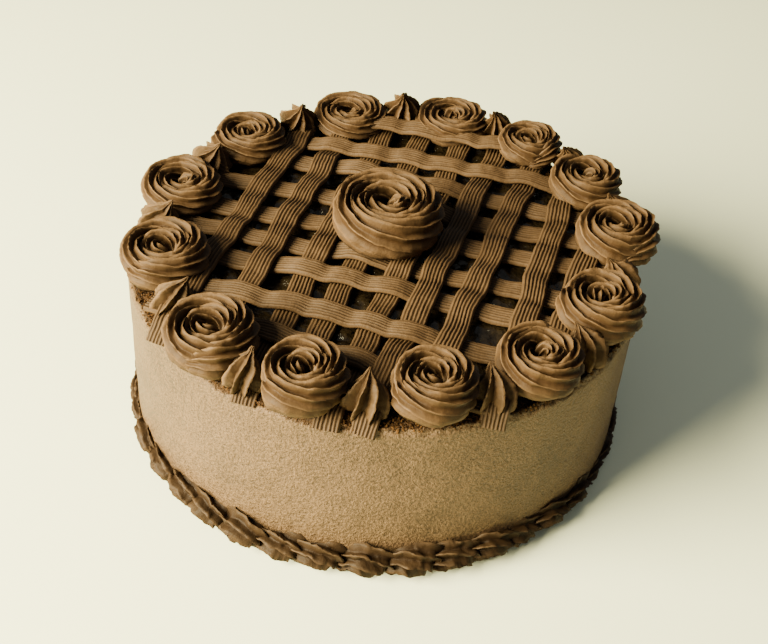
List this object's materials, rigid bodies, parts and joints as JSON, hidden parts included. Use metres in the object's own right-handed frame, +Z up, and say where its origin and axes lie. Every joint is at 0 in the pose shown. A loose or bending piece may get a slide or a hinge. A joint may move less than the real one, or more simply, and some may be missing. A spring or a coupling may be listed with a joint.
{
  "type": "layer cake",
  "caption": "Round chocolate layer cake, frosted smooth, topped with dark fruit filling under a woven frosting lattice, piped rosettes and stars, with a shell border at its foot.",
  "frame": {"origin": "centre of the flat underside, on the axis of the round side", "axes": "+Z up; +X to the right and +Y to the far side of the view in which the lattice's long ribbons run away from the viewer"},
  "size_m": [0.2561, 0.256, 0.1168],
  "materials": {
    "side_frosting": "smoothed chocolate frosting with a fine pebbled grain",
    "piped_frosting": "soft satin piped chocolate frosting",
    "fruit_filling": "wet, nearly black cooked fruit in gel"
  },
  "bodies": {
    "root": {"frosted_cake": "side_frosting", "fruit_filling": "fruit_filling", "ribbon_along_1": "piped_frosting", "ribbon_along_2": "piped_frosting", "ribbon_along_3": "piped_frosting", "ribbon_along_4": "piped_frosting", "ribbon_along_5": "piped_frosting", "ribbon_along_6": "piped_frosting", "ribbon_along_7": "piped_frosting", "ribbon_along_8": "piped_frosting", "ribbon_along_9": "piped_frosting", "ribbon_across_1": "piped_frosting", "ribbon_across_2": "piped_frosting", "ribbon_across_3": "piped_frosting", "ribbon_across_4": "piped_frosting", "ribbon_across_5": "piped_frosting", "ribbon_across_6": "piped_frosting", "ribbon_across_7": "piped_frosting", "ribbon_across_8": "piped_frosting", "ribbon_across_9": "piped_frosting", "rosette_01": "piped_frosting", "rosette_02": "piped_frosting", "rosette_03": "piped_frosting", "rosette_04": "piped_frosting", "rosette_05": "piped_frosting", "rosette_06": "piped_frosting", "rosette_07": "piped_frosting", "rosette_08": "piped_frosting", "rosette_09": "piped_frosting", "rosette_10": "piped_frosting", "rosette_11": "piped_frosting", "rosette_12": "piped_frosting", "rosette_13": "piped_frosting", "rosette_middle": "piped_frosting", "star_01": "piped_frosting", "star_02": "piped_frosting", "star_03": "piped_frosting", "star_04": "piped_frosting", "star_05": "piped_frosting", "star_06": "piped_frosting", "star_07": "piped_frosting", "star_08": "piped_frosting", "star_09": "piped_frosting", "star_10": "piped_frosting", "star_11": "piped_frosting", "star_12": "piped_frosting", "star_13": "piped_frosting", "shell_border": "piped_frosting"}
  },
  "joints": []
}
